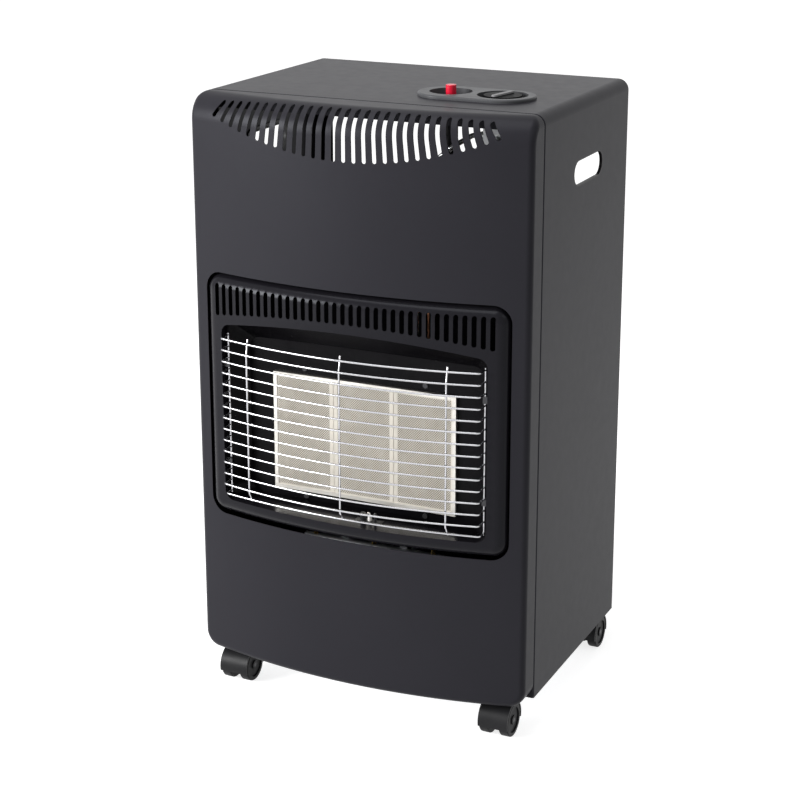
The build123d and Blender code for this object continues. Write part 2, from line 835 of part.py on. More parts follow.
# Gas manifold: a closed tube with two brackets up to the housings
lane_y = housing_back_y + pipe_lane_gap
manifold_half = plaque_places[-1] + manifold_overhang
bracket_places = [(left + right) / 2 for left, right in zip(plaque_places[:-1], plaque_places[1:])]
with BuildPart() as gas_manifold:
    rod((-manifold_half, mixer_y, manifold_z), (manifold_half, mixer_y, manifold_z), manifold_diameter)
    for x in bracket_places:
        upright_box(
            (x - bracket_depth / 2, x + bracket_depth / 2),
            (mixer_y - bracket_sheet / 2, mixer_y + bracket_sheet / 2),
            (manifold_z, housing_foot_z),
        )
        upright_box(
            (x - bracket_width / 2, x + bracket_width / 2),
            (mixer_y - bracket_depth / 2, mixer_y + bracket_depth / 2),
            (housing_foot_z - bracket_sheet, housing_foot_z),
        )
    manifold_wall = (manifold_diameter - manifold_bore) / 2
    rod(
        (-manifold_half + manifold_wall, mixer_y, manifold_z),
        (manifold_half - manifold_wall, mixer_y, manifold_z),
        manifold_bore,
        mode=Mode.SUBTRACT,
    )
    for x in plaque_places:
        rod(
            (x, mixer_y, manifold_z),
            (x, mixer_y, manifold_z + manifold_diameter),
            injector_diameter,
            mode=Mode.SUBTRACT,
        )
    rod(
        (pipe_column_x, mixer_y, manifold_z),
        (pipe_column_x, lane_y, manifold_z),
        burner_pipe_diameter,
        mode=Mode.SUBTRACT,
    )
gas_manifold.part.label = "gas_manifold"
export_step(gas_manifold.part, "parts/gas_manifold.step")

with BuildPart() as burner_screws:
    for x, z in burner_screws_at:
        rod((x, dish_back_y, z), (x, dish_back_y - screw_head_height, z), screw_head)
        rod((x, dish_back_y, z), (x, flange_back_y + screw_shank, z), screw_shank)
burner_screws.part.label = "burner_screws"
export_step(burner_screws.part, "parts/burner_screws.step")

# Heat shield between the burner and the cylinder bay
shield_y = front_y + shield_behind
with BuildPart() as heat_shield:
    upright_box(
        (-half_width + sheet, half_width - sheet),
        (shield_y, shield_y + dish_sheet),
        (tray_rim_z, height(shield_top)),
    )
    for side in (-1, 1):
        flange_ends = sorted((side * (half_width - sheet - dish_sheet), side * (half_width - sheet)))
        upright_box(flange_ends, (shield_y, shield_y + shield_flange), (tray_rim_z, height(shield_top)))
heat_shield.part.label = "heat_shield"
export_step(heat_shield.part, "parts/heat_shield.step")

# ---------------------------------------------------------------- dress guard
post_y = front_y + guard_end_behind + guard_leg
wire_end_y = front_y + guard_end_behind
wire_middle_y = front_y - guard_proud
guard_rows = [height(guard_top - number * guard_pitch) for number in range(guard_count)]
crossing = wire_diameter - guard_weld


def wire_ends_y(set_back):
    """Y of a bowed wire's corners, when its middle is set back."""
    return wire_end_y + set_back * guard_leg / (post_y - wire_middle_y)


def wire_y(x, set_back):
    """Y of a bowed wire's axis at x, on the circle through its corners and its middle."""
    middle_y = wire_middle_y + set_back
    sagitta = wire_ends_y(set_back) - middle_y
    circle_radius = (guard_half_width**2 + sagitta**2) / (2 * sagitta)
    return middle_y + circle_radius - math.sqrt(circle_radius**2 - x**2)


def guard_wire(z, set_back):
    """One bowed wire with its legs turned back, in the part that is open."""
    end_y = wire_ends_y(set_back)
    with BuildPart() as wire:
        with BuildLine(Plane.XY.offset(z)) as route:
            Line((-guard_half_width, post_y), (-guard_half_width, end_y))
            ThreePointArc((-guard_half_width, end_y), (0, wire_middle_y + set_back), (guard_half_width, end_y))
            Line((guard_half_width, end_y), (guard_half_width, post_y))
            fillet(route.vertices().filter_by(lambda v: abs(v.Y - end_y) < wire_radius), guard_bend)
        with BuildSketch(Plane(origin=route.line @ 0, z_dir=route.line % 0)):
            Circle(wire_radius)
        sweep(path=route.line)
    add(wire.part)


with BuildPart() as dress_guard:
    for z in guard_rows[:-1]:
        guard_wire(z, 0)
    guard_wire(guard_rows[-1], guard_foot_tuck)
    for side in (-1, 1):
        x = side * guard_half_width
        rod(
            (x, post_y, guard_rows[-1] - wire_diameter),
            (x, post_y, guard_rows[0] + wire_diameter),
            guard_post_diameter,
        )
dress_guard.part.label = "dress_guard"
export_step(dress_guard.part, "parts/dress_guard.step")

# Upright wires behind the bowed ones
with BuildPart() as guard_uprights:
    for x in (-guard_post_offset, 0, guard_post_offset):
        upright_y = wire_y(x, 0) + crossing
        foot_y = wire_y(x, guard_foot_tuck) + crossing
        bent_rod(
            [
                (x, foot_y + wire_radius, guard_rows[-1] - wire_diameter),
                (x, upright_y, guard_rows[-2] - guard_bend),
                (x, upright_y, guard_rows[1]),
                (x, upright_y + guard_top_tuck, guard_rows[0] + guard_bend),
            ],
            [guard_bend, guard_top_bend],
            wire_diameter,
        )
guard_uprights.part.label = "guard_uprights"
export_step(guard_uprights.part, "parts/guard_uprights.step")

# Clips that hold the guard's end posts on the surround's lip
with BuildPart() as guard_clips:
    for side in (-1, 1):
        for clip_z in clip_heights:
            clip_ends = sorted((side * (guard_half_width - wire_diameter), side * mouth_half))
            low = height(clip_z) - clip_height / 2
            high = height(clip_z) + clip_height / 2
            upright_box(clip_ends, (post_y - clip_depth / 2, post_y + clip_depth / 2), (low, high))
            x = side * guard_half_width
            rod((x, post_y, low), (x, post_y, high), guard_post_diameter, mode=Mode.SUBTRACT)
            for z in guard_rows:
                if low - wire_radius < z < high + wire_radius:
                    rod((x, post_y, z), (x, post_y - clip_depth, z), wire_diameter, mode=Mode.SUBTRACT)
guard_clips.part.label = "guard_clips"
export_step(guard_clips.part, "parts/guard_clips.step")

# ---------------------------------------------------------------- controls
plate_top_z = top_z + plate_height
igniter_floor_z = top_z - igniter_recess_depth
knob_floor_z = top_z - knob_recess_depth
controls_middle_x = (igniter_x + knob_x) / 2
valve_screws_at = [
    (knob_x - valve_screw_spacing / 2, controls_y),
    (knob_x + valve_screw_spacing / 2, controls_y),
]
recesses = [
    (igniter_x, igniter_recess, igniter_floor_z, igniter_diameter / 2),
    (knob_x, knob_recess, knob_floor_z, spindle_diameter / 2 + stem_hole_play),
]

# Moulded plate with two cup-shaped recesses that hang through the cabinet's top
with BuildPart() as control_plate:
    with BuildSketch(Plane.XY.offset(top_z)):
        with Locations((controls_middle_x, controls_y)):
            SlotCenterToCenter(knob_x - igniter_x, 2 * plate_radius)
    extrude(amount=plate_height)
    fillet(edges().group_by(Axis.Z)[-1], plate_edge_rounding)
    for x, radius, floor_z, hole_radius in recesses:
        centre = (x, controls_y)
        cup = (*centre, floor_z - plate_wall)
        rod(cup, (*centre, top_z), 2 * (radius + plate_wall))
        rod((*centre, floor_z), (*centre, plate_top_z), 2 * radius, mode=Mode.SUBTRACT)
        rod(cup, (*centre, floor_z), 2 * hole_radius, mode=Mode.SUBTRACT)
    for x, y in valve_screws_at:
        low = (x, y, knob_floor_z - plate_wall)
        rod(low, (x, y, knob_floor_z), 2 * screw_hole_radius, mode=Mode.SUBTRACT)
control_plate.part.label = "control_plate"
export_step(control_plate.part, "parts/control_plate.step")

# Knob: a thin disc level with the plate, a grip bar across it and a hub on the spindle
knob_disc_z = plate_top_z - knob_thickness
spindle_top_z = plate_top_z - knob_thickness / 2
knob_axis = (knob_x, controls_y)


def spindle_section(play):
    """The spindle's round section with its flat, grown by play."""
    with BuildSketch() as section:
        Circle(spindle_diameter / 2 + play)
        with Locations((0, spindle_flat + play + spindle_diameter / 2)):
            Rectangle(2 * spindle_diameter, spindle_diameter, mode=Mode.SUBTRACT)
    return section.sketch


with BuildPart() as control_knob:
    rod((*knob_axis, knob_disc_z), (*knob_axis, plate_top_z), knob_diameter)
    rod((*knob_axis, knob_disc_z - knob_hub_height), (*knob_axis, knob_disc_z), knob_hub_diameter)
    with BuildSketch(Plane.XY.offset(plate_top_z)):
        with Locations(knob_axis):
            SlotOverall(knob_bar_length, knob_bar_width, rotation=90 + knob_bar_turn)
    extrude(amount=knob_bar_height, taper=knob_bar_taper)
    with BuildSketch(Plane.XY.offset(knob_disc_z - knob_hub_height)):
        with Locations(knob_axis):
            add(spindle_section(0))
    extrude(amount=spindle_top_z - knob_disc_z + knob_hub_height, mode=Mode.SUBTRACT)
control_knob.part.label = "control_knob"
export_step(control_knob.part, "parts/control_knob.step")

# ---------------------------------------------------------------- valve
valve_top_z = top_z - valve_top_gap
valve_foot_z = valve_top_z - valve_height
plug_top_z = knob_floor_z - plate_wall - plug_cover
plug_foot_z = plug_top_z - plug_length
spindle_foot_z = plug_top_z - spindle_entry
outlet_z = valve_foot_z + outlet_diameter
outlet_face_x = knob_x - valve_width / 2 - outlet_length
valve_front_y = controls_y - valve_depth / 2
valve_back_y = controls_y + valve_depth / 2
pilot_outlet_y = valve_front_y - outlet_length

with BuildPart() as valve_spindle:
    with BuildSketch(Plane.XY.offset(spindle_foot_z)):
        with Locations(knob_axis):
            add(spindle_section(0))
    extrude(amount=spindle_top_z - spindle_foot_z)
valve_spindle.part.label = "valve_spindle"
export_step(valve_spindle.part, "parts/valve_spindle.step")

# Turning plug; the spindle slides in it and turns it by its flat
with BuildPart() as valve_plug:
    rod((*knob_axis, plug_foot_z), (*knob_axis, plug_top_z), plug_diameter)
    with BuildSketch(Plane.XY.offset(spindle_foot_z - knob_travel - running_gap)):
        with Locations(knob_axis):
            add(spindle_section(running_gap))
    extrude(amount=spindle_entry + knob_travel + running_gap, mode=Mode.SUBTRACT)
valve_plug.part.label = "valve_plug"
export_step(valve_plug.part, "parts/valve_plug.step")

with BuildPart() as valve_body:
    upright_box(
        (knob_x - valve_width / 2, knob_x + valve_width / 2),
        (valve_front_y, valve_back_y),
        (valve_foot_z, valve_top_z),
    )
    upright_box(
        (knob_x - valve_pad_width / 2, knob_x + valve_pad_width / 2),
        (controls_y - valve_pad_depth / 2, controls_y + valve_pad_depth / 2),
        (valve_top_z, knob_floor_z - plate_wall),
    )
    rod((outlet_face_x, controls_y, outlet_z), (knob_x, controls_y, outlet_z), outlet_diameter)
    rod((knob_x, pilot_outlet_y, outlet_z), (knob_x, controls_y, outlet_z), pilot_outlet_diameter)
    rod((*knob_axis, valve_foot_z - outlet_length), (*knob_axis, valve_foot_z), union_diameter)
    plug_bore = plug_diameter + 2 * running_gap
    plug_seat_z = plug_foot_z - running_gap
    rod((*knob_axis, plug_seat_z), (*knob_axis, knob_floor_z), plug_bore, mode=Mode.SUBTRACT)
    for x, y in valve_screws_at:
        rod(
            (x, y, valve_top_z - outlet_length),
            (x, y, knob_floor_z),
            2 * screw_hole_radius,
            mode=Mode.SUBTRACT,
        )
valve_body.part.label = "valve_body"
export_step(valve_body.part, "parts/valve_body.step")

with BuildPart() as control_screws:
    for x, y in valve_screws_at:
        rod((x, y, knob_floor_z), (x, y, knob_floor_z + screw_head_height), screw_head)
        rod((x, y, valve_top_z - outlet_length / 2), (x, y, knob_floor_z), screw_shank)
control_screws.part.label = "control_screws"
export_step(control_screws.part, "parts/control_screws.step")

# Gas inlet: a nut on the valve's back and a plain hose tail that points out of the open back
tail_foot_y = valve_back_y + tail_nut_length
tail_end_y = tail_foot_y + tail_length
with BuildPart() as gas_inlet:
    with BuildSketch(front_plane(tail_foot_y)):
        with Locations((knob_x, outlet_z)):
            RegularPolygon(tail_nut_across / 2, 6, major_radius=False)
    extrude(amount=tail_nut_length)
    rod((knob_x, tail_foot_y, outlet_z), (knob_x, tail_end_y, outlet_z), tail_diameter)
    chamfer(faces().sort_by(Axis.Y)[-1].edges(), tail_chamfer)
    rod((knob_x, valve_back_y, outlet_z), (knob_x, tail_end_y, outlet_z), tail_bore, mode=Mode.SUBTRACT)
gas_inlet.part.label = "gas_inlet"
export_step(gas_inlet.part, "parts/gas_inlet.step")

# ---------------------------------------------------------------- igniter
igniter_axis = (igniter_x, controls_y)
igniter_foot_z = igniter_floor_z - igniter_length
button_foot_z = igniter_floor_z - button_entry
with BuildPart() as igniter_button:
    rod((*igniter_axis, button_foot_z), (*igniter_axis, top_z + button_height), button_diameter)
    fillet(edges().group_by(Axis.Z)[-1], button_rounding)
igniter_button.part.label = "igniter_button"
export_step(igniter_button.part, "parts/igniter_button.step")

with BuildPart() as igniter_body:
    rod((*igniter_axis, igniter_foot_z), (*igniter_axis, igniter_floor_z), igniter_diameter)
    rim_top = (*igniter_axis, igniter_floor_z + igniter_rim)
    rod((*igniter_axis, igniter_floor_z), rim_top, igniter_diameter + 2 * igniter_rim)
    rod(
        (*igniter_axis, button_foot_z - button_travel - running_gap),
        rim_top,
        button_diameter + 2 * running_gap,
        mode=Mode.SUBTRACT,
    )
igniter_body.part.label = "igniter_body"
export_step(igniter_body.part, "parts/igniter_body.step")

# ---------------------------------------------------------------- pipes and leads
crossing_z = height(shield_top) + 3 * burner_pipe_diameter
lip_floor_z = height(mouth_foot)
lane_low_z = height(mouth_foot - lane_drop)
lane_high_z = lane_low_z + lane_step
with BuildPart() as burner_pipe:
    bent_rod(
        [
            (outlet_face_x, controls_y, outlet_z),
            (outlet_face_x - pipe_stub, controls_y, outlet_z),
            (igniter_x + pipe_stub, controls_y - igniter_diameter, outlet_z - pipe_drops[0]),
            (pipe_column_x, controls_y - igniter_diameter - pipe_clearance, outlet_z - pipe_drops[1]),
            (pipe_column_x, lane_y, crossing_z),
            (pipe_column_x, lane_y, manifold_z),
            (pipe_column_x, mixer_y + manifold_diameter / 2 - injector_seat, manifold_z),
        ],
        [pipe_end_bend, pipe_bend, pipe_bend, pipe_bend, pipe_end_bend],
        burner_pipe_diameter,
    )
burner_pipe.part.label = "burner_pipe"
export_step(burner_pipe.part, "parts/burner_pipe.step")

with BuildPart() as pilot_pipe:
    bent_rod(
        [
            (knob_x, pilot_outlet_y, outlet_z),
            (knob_x, pilot_outlet_y - pilot_stub, outlet_z),
            (pilot_column_x, lane_y, outlet_z - pilot_drop),
            (pilot_column_x, lane_y, lane_low_z),
            (pilot_column_x, dish_front_y + pilot_lane_front, lane_low_z),
            (pilot_x, pilot_y, lane_low_z),
            (pilot_x, pilot_y, lip_floor_z),
        ],
        [pipe_end_bend, pilot_pipe_bend, pilot_pipe_bend, pilot_pipe_bend, pilot_pipe_end_bend],
        pilot_pipe_diameter,
    )
pilot_pipe.part.label = "pilot_pipe"
export_step(pilot_pipe.part, "parts/pilot_pipe.step")

with BuildPart() as thermocouple_lead:
    bent_rod(
        [
            (*knob_axis, valve_foot_z - outlet_length),
            (*knob_axis, valve_foot_z - outlet_length - thermocouple_stub),
            (thermocouple_column_x, lane_y, crossing_z - lead_crossing_step),
            (thermocouple_column_x, lane_y, lane_high_z),
            (thermocouple_column_x, dish_front_y + thermocouple_lane_front, lane_high_z),
            (thermocouple_x, pilot_y, lane_high_z),
            (thermocouple_x, pilot_y, lip_floor_z),
        ],
        [lead_bend, lead_bend, lead_bend, lead_low_bend, lead_end_bend],
        thermocouple_lead_diameter,
    )
thermocouple_lead.part.label = "thermocouple_lead"
export_step(thermocouple_lead.part, "parts/thermocouple_lead.step")

with BuildPart() as ignition_lead:
    bent_rod(
        [
            (*igniter_axis, igniter_foot_z),
            (*igniter_axis, igniter_foot_z - ignition_stub),
            (electrode_x, lane_y, crossing_z - lead_crossing_step),
            (electrode_x, lane_y, lane_high_z),
            (electrode_x, pilot_y, lane_high_z),
            (electrode_x, pilot_y, lip_floor_z),
        ],
        [lead_bend, lead_bend, lead_bend, lead_end_bend],
        ignition_lead_diameter,
    )
ignition_lead.part.label = "ignition_lead"
export_step(ignition_lead.part, "parts/ignition_lead.step")

# Pilot burner on its plate, with the spark electrode and the thermocouple through the same plate
pilot_plate_z = lip_floor_z + pilot_plate_sheet
pilot_plate_x = (pilot_x + thermocouple_x) / 2
with BuildPart() as pilot_burner:
    upright_box(
        (pilot_plate_x - pilot_plate_width / 2, pilot_plate_x + pilot_plate_width / 2),
        (pilot_y - pilot_plate_depth / 2, pilot_y + pilot_plate_depth / 2),
        (lip_floor_z, pilot_plate_z),
    )
    rod((pilot_x, pilot_y, lip_floor_z), (pilot_x, pilot_y, lip_floor_z + pilot_height), pilot_diameter)
    pilot_slot_z = lip_floor_z + pilot_height * pilot_slot_share
    rod(
        (pilot_x, pilot_y, pilot_slot_z),
        (pilot_x + pilot_diameter, pilot_y, pilot_slot_z),
        pilot_slot_diameter,
        Mode.SUBTRACT,
    )
    for x, diameter in ((electrode_x, electrode_diameter), (thermocouple_x, thermocouple_diameter)):
        rod((x, pilot_y, lip_floor_z), (x, pilot_y, pilot_plate_z), diameter, mode=Mode.SUBTRACT)
pilot_burner.part.label = "pilot_burner"
export_step(pilot_burner.part, "parts/pilot_burner.step")

electrode_top_z = lip_floor_z + electrode_height
with BuildPart() as spark_electrode:
    rod((electrode_x, pilot_y, lip_floor_z), (electrode_x, pilot_y, electrode_top_z), electrode_diameter)
    bent_rod(
        [
            (electrode_x, pilot_y, electrode_top_z - electrode_pin),
            (electrode_x, pilot_y, electrode_top_z + electrode_reach / 2),
            (electrode_x - electrode_reach / 2, pilot_y, electrode_top_z + electrode_reach / 2),
        ],
        [electrode_pin],
        electrode_pin,
    )
spark_electrode.part.label = "spark_electrode"
export_step(spark_electrode.part, "parts/spark_electrode.step")

with BuildPart() as thermocouple:
    tip_z = lip_floor_z + thermocouple_height
    rod((thermocouple_x, pilot_y, lip_floor_z), (thermocouple_x, pilot_y, tip_z), thermocouple_diameter)
    fillet(edges().group_by(Axis.Z)[-1], thermocouple_diameter / 2 - pilot_plate_sheet / 2)
thermocouple.part.label = "thermocouple"
export_step(thermocouple.part, "parts/thermocouple.step")

# ---------------------------------------------------------------- rear cover
cover_front_y = back_y + cover_gap
cover_flange_y = cover_front_y + cover_sheet
cover_back_y = back_y + cover_depth
cover_middle_z = height((cover_foot + cover_top) / 2)
cover_tall = cover_top - cover_foot
pan_tall = cover_tall - 2 * cover_flange
slot_rows = [
    height(cover_foot) + 3 * cover_flange,
    height(cover_top) - 3 * cover_flange - (cover_slot_count - 1) * cover_slot_pitch,
]
with BuildPart() as rear_cover:
    with BuildSketch(front_plane(cover_back_y)):
        with Locations((0, cover_middle_z)):
            RectangleRounded(2 * cover_half_width, pan_tall, cover_corner)
    extrude(amount=cover_depth - cover_gap)
    fillet(faces().sort_by(Axis.Y)[-1].edges(), cover_corner / 3)
    offset(amount=-cover_sheet, openings=faces().sort_by(Axis.Y)[0])
    with BuildSketch(front_plane(cover_flange_y)):
        with Locations((0, cover_middle_z)):
            Rectangle(2 * cover_flange_half, cover_tall)
            RectangleRounded(
                2 * (cover_half_width - cover_sheet),
                pan_tall - 2 * cover_sheet,
                cover_corner - cover_sheet,
                mode=Mode.SUBTRACT,
            )
    extrude(amount=cover_sheet)
    with BuildSketch(front_plane(cover_back_y + cover_sheet)):
        for first_z in slot_rows:
            for number in range(cover_slot_count):
                for side in (-1, 1):
                    with Locations((side * cover_half_width / 2, first_z + number * cover_slot_pitch)):
                        SlotOverall(cover_slot_length, cover_slot_width)
    extrude(amount=3 * cover_sheet, mode=Mode.SUBTRACT)
    with BuildSketch(front_plane(cover_flange_y + cover_sheet)):
        for x, z in studs_at:
            slot((x, z), (x, z - cover_lift), stud_diameter + 2 * running_gap)
            with Locations((x, z - cover_lift)):
                Circle(stud_head_diameter / 2 + keyhole_play)
    extrude(amount=3 * cover_sheet, mode=Mode.SUBTRACT)
rear_cover.part.label = "rear_cover"
export_step(rear_cover.part, "parts/rear_cover.step")

# Headed studs in the wrap's rear flanges; the cover hangs on them by its keyholes
with BuildPart() as cover_studs:
    stud_head_y = cover_flange_y + stud_gap
    for x, z in studs_at:
        rod((x, back_y - sheet, z), (x, stud_head_y, z), stud_diameter)
        rod((x, stud_head_y, z), (x, stud_head_y + stud_head, z), stud_head_diameter)
cover_studs.part.label = "cover_studs"
export_step(cover_studs.part, "parts/cover_studs.step")

# ---------------------------------------------------------------- hand grips and panel screws
for name, side in (("left", -1), ("right", 1)):
    lip_x = side * (half_width - sheet)
    with BuildPart() as hand_grip:
        with BuildSketch(Plane.YZ.offset(lip_x)):
            with Locations((hand_hole_y, height(hand_hole_centre))):
                SlotOverall(hand_hole_length + 2 * grip_lip, hand_hole_height + 2 * grip_lip)
        extrude(amount=-side * grip_wall)
        with BuildSketch(Plane.YZ.offset(side * half_width)):
            with Locations((hand_hole_y, height(hand_hole_centre))):
                SlotOverall(hand_hole_length, hand_hole_height)
        extrude(amount=-side * grip_depth)
        with BuildSketch(Plane.YZ.offset(side * half_width)):
            with Locations((hand_hole_y, height(hand_hole_centre))):
                SlotOverall(hand_hole_length - 2 * grip_wall, hand_hole_height - 2 * grip_wall)
        extrude(amount=-side * grip_depth, mode=Mode.SUBTRACT)
    hand_grip.part.label = f"hand_grip_{name}"
    export_step(hand_grip.part, f"parts/hand_grip_{name}.step")

with BuildPart() as front_panel_screws:
    head_y = seam_y + sheet
    for x, z in flange_screws:
        rod((x, head_y, z), (x, head_y + screw_head_height, z), screw_head)
        rod((x, seam_y - 2 * sheet - screw_shank, z), (x, head_y, z), screw_shank)
front_panel_screws.part.label = "front_panel_screws"
export_step(front_panel_screws.part, "parts/front_panel_screws.step")

# ---------------------------------------------------------------- casters
wheel_radius = wheel_diameter / 2
caster_half = hood_web / 2 + wheel_gap + wheel_width
hood_top_z = wheel_radius + hood_radius
collar_foot_z = hood_top_z + 2 * hood_top_gap
corner_names = ("front_left", "front_right", "rear_left", "rear_right")
trails = (-caster_trail, -caster_trail, caster_trail, caster_trail)
with BuildPart() as caster_stems:
    for x, y in stem_places:
        rod((x, y, stem_seat), (x, y, tray_floor_z), stem_diameter)
        rod((x, y, collar_foot_z), (x, y, height(tray_lift)), stem_collar_diameter)
caster_stems.part.label = "caster_stems"
export_step(caster_stems.part, "parts/caster_stems.step")

for corner, (x, stem_y), trail in zip(corner_names, stem_places, trails):
    axle_y = stem_y + trail
    # Hood: a barrel over both wheels, a web between them and the socket for the stem
    with BuildPart() as caster_hood:
        rod((x - caster_half, axle_y, wheel_radius), (x + caster_half, axle_y, wheel_radius), 2 * hood_radius)
        for way in (-1, 1):
            rod(
                (x + way * hood_web / 2, axle_y, wheel_radius),
                (x + way * (caster_half + wheel_gap), axle_y, wheel_radius),
                2 * (wheel_radius + wheel_well_gap),
                mode=Mode.SUBTRACT,
            )
        upright_box(
            (x - 2 * caster_half, x + 2 * caster_half),
            (axle_y - 2 * hood_radius, axle_y + 2 * hood_radius),
            (-hood_radius, wheel_radius - hood_skirt),
            mode=Mode.SUBTRACT,
        )
        socket_foot_z = stem_seat - hood_boss_floor
        upright_box(
            (x - hood_web / 2, x + hood_web / 2),
            (min(axle_y, stem_y), max(axle_y, stem_y)),
            (socket_foot_z, wheel_radius + hood_web),
        )
        rod((x, stem_y, socket_foot_z), (x, stem_y, hood_top_z + hood_top_gap), hood_web)
        rod(
            (x, stem_y, stem_seat - running_gap),
            (x, stem_y, hood_top_z + hood_top_gap),
            stem_diameter + 2 * running_gap,
            mode=Mode.SUBTRACT,
        )
        rod(
            (x - hood_web / 2, axle_y, wheel_radius),
            (x + hood_web / 2, axle_y, wheel_radius),
            axle_diameter,
            mode=Mode.SUBTRACT,
        )
    caster_hood.part.label = f"caster_{corner}_hood"
    export_step(caster_hood.part, f"parts/caster_{corner}_hood.step")

    with BuildPart() as caster_axle:
        rod((x - caster_half, axle_y, wheel_radius), (x + caster_half, axle_y, wheel_radius), axle_diameter)
    caster_axle.part.label = f"caster_{corner}_axle"
    export_step(caster_axle.part, f"parts/caster_{corner}_axle.step")

    for name, way in (("left", -1), ("right", 1)):
        inner_x = x + way * (hood_web / 2 + wheel_gap)
        outer_x = x + way * caster_half
        with BuildPart() as caster_wheel:
            rod((inner_x, axle_y, wheel_radius), (outer_x, axle_y, wheel_radius), wheel_diameter)
            rims = edges().filter_by(GeomType.CIRCLE)
            fillet(rims, wheel_rounding)
            dish_x = outer_x - way * wheel_dish_depth
            dish_face = Plane(origin=(dish_x, axle_y, wheel_radius), z_dir=(way, 0, 0))
            with BuildSketch(dish_face):
                Circle(wheel_dish_radius)
                Circle(wheel_hub_radius, mode=Mode.SUBTRACT)
            extrude(amount=wheel_dish_depth, mode=Mode.SUBTRACT)
            rod(
                (inner_x, axle_y, wheel_radius),
                (outer_x, axle_y, wheel_radius),
                axle_diameter + 2 * running_gap,
                mode=Mode.SUBTRACT,
            )
        caster_wheel.part.label = f"caster_{corner}_wheel_{name}"
        export_step(caster_wheel.part, f"parts/caster_{corner}_wheel_{name}.step")
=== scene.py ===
# %% [markdown]
# # A portable gas cabinet heater
# The heater is a folded sheet cabinet on four twin-wheel casters. A bowed front panel carries a
# wide window, and behind its chrome wire guard three pale ceramic plaques stand in a glossy dish.
# The solids come from the frame, so this lesson is about finishes: each cell makes one of them,
# and the last cells set up the camera, the floor and the lamps.

# %% Load the frame
import json
import math
import bpy
import bmesh
from mathutils import Matrix, Vector


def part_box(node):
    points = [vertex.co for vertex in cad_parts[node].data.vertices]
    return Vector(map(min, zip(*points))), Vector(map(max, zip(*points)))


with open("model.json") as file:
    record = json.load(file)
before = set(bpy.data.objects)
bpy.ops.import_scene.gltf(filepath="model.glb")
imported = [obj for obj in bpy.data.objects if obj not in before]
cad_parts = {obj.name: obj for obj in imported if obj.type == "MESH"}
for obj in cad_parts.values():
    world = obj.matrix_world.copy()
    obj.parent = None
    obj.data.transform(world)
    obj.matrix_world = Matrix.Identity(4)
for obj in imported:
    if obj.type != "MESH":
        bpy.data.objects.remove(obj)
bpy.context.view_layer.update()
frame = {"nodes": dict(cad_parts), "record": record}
nodes = frame["nodes"]
slot_of = {row["node"]: row["material_slot"] for row in frame["record"]["subparts"]}

# %% [markdown]
# ## Soft edges on every solid
# A rolled sheet or a moulding has no razor edge. The solids' meshes could take a Bevel modifier,
# but the solids already carry their real radii, so it is enough to shade them smoothly wherever
# two faces meet at a shallow angle, and to leave the folds crisp.

# %% Smooth shading by angle
crease = math.radians(28)


def shade_by_angle(piece):
    """Smooth shading, with every edge sharper than the crease kept sharp."""
    mesh = piece.data
    form = bmesh.new()
    form.from_mesh(mesh)
    for edge in form.edges:
        edge.smooth = len(edge.link_faces) == 2 and edge.calc_face_angle(0.0) < crease
    for face in form.faces:
        face.smooth = True
    form.to_mesh(mesh)
    form.free()


for piece in nodes.values():
    shade_by_angle(piece)
print("shaded", len(nodes))

# %% [markdown]
# ## The parts of a finish
# Every finish here is a Principled shader with a few procedural layers on it: a slow change of
# shade, a fine bump and an uneven gloss. These helpers add one layer each, so a finish reads like
# a short recipe. They work in object coordinates, which are metres on this object, so a scale of
# 500 means a grain of about two millimetres.

# %% Helpers for finishes
def finish_of(name, colour, roughness, metallic=0.0, specular=0.5):
    """A new material with plain values, and its shader."""
    material = bpy.data.materials.new(name)
    material.use_nodes = True
    shader = material.node_tree.nodes["Principled BSDF"]
    shader.inputs["Base Color"].default_value = (*colour, 1)
    shader.inputs["Roughness"].default_value = roughness
    shader.inputs["Metallic"].default_value = metallic
    shader.inputs["Specular IOR Level"].default_value = specular
    return material, shader


def node(material, kind, **values):
    """A node of this kind in the material, with its properties set."""
    made = material.node_tree.nodes.new("ShaderNode" + kind)
    for name, value in values.items():
        setattr(made, name, value)
    return made


def place(material, stretch=(1, 1, 1), turn=(0, 0, 0)):
    """Object coordinates, stretched and turned."""
    links = material.node_tree.links
    where = node(material, "TexCoord")
    mapping = node(material, "Mapping")
    mapping.inputs["Scale"].default_value = stretch
    mapping.inputs["Rotation"].default_value = turn
    links.new(where.outputs["Object"], mapping.inputs["Vector"])
    return mapping.outputs["Vector"]


def noise(material, vector, scale, detail=2.0, rough=0.5):
    """Noise of that scale, as a value from 0 to 1."""
    texture = node(material, "TexNoise")
    texture.inputs["Scale"].default_value = scale
    texture.inputs["Detail"].default_value = detail
    texture.inputs["Roughness"].default_value = rough
    material.node_tree.links.new(vector, texture.inputs["Vector"])
    return texture.outputs["Fac"]


def spread(material, value, low, high):
    """The value, laid out between low and high."""
    span = node(material, "MapRange")
    span.inputs["From Min"].default_value = 0.25
    span.inputs["From Max"].default_value = 0.75
    span.inputs["To Min"].default_value = low
    span.inputs["To Max"].default_value = high
    material.node_tree.links.new(value, span.inputs["Value"])
    return span.outputs["Result"]


def tint(material, shader, value, dark, light):
    """Base colour that runs from dark to light with the value."""
    blend = node(material, "Mix", data_type="RGBA")
    blend.inputs["A"].default_value = (*dark, 1)
    blend.inputs["B"].default_value = (*light, 1)
    material.node_tree.links.new(value, blend.inputs["Factor"])
    material.node_tree.links.new(blend.outputs["Result"], shader.inputs["Base Color"])


def bumps(material, shader, value, depth, strength=1.0):
    """Fine relief of this depth in metres."""
    relief = node(material, "Bump")
    relief.inputs["Strength"].default_value = strength
    relief.inputs["Distance"].default_value = depth
    material.node_tree.links.new(value, relief.inputs["Height"])
    material.node_tree.links.new(relief.outputs["Normal"], shader.inputs["Normal"])


